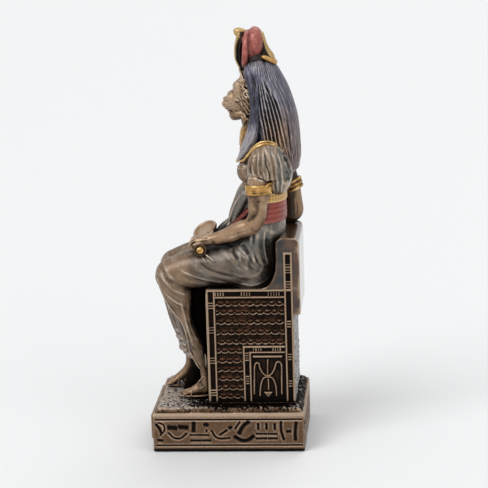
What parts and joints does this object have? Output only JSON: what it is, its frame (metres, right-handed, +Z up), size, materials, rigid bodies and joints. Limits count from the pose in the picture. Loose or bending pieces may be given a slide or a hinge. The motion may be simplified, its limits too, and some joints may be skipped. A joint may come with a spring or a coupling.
{
  "type": "sekhmet figurine",
  "caption": "Seated lioness-headed goddess figurine with sun disc and long wig, on a block throne and a rectangular plinth.",
  "frame": {"origin": "middle of the plinth's underside", "axes": "+Z up, -Y the way the figure faces, +X the figure's left"},
  "size_m": [0.026, 0.0321, 0.0864],
  "materials": {
    "bronze_resin": "satin cold-cast bronze resin with hand-painted zones and a dark wash",
    "plinth_resin": "satin cold-cast bronze resin, dark wash in the cuts, rough grey-brown ground on top"
  },
  "bodies": {
    "root": {"goddess_enthroned": "bronze_resin", "plinth": "plinth_resin"}
  },
  "joints": []
}
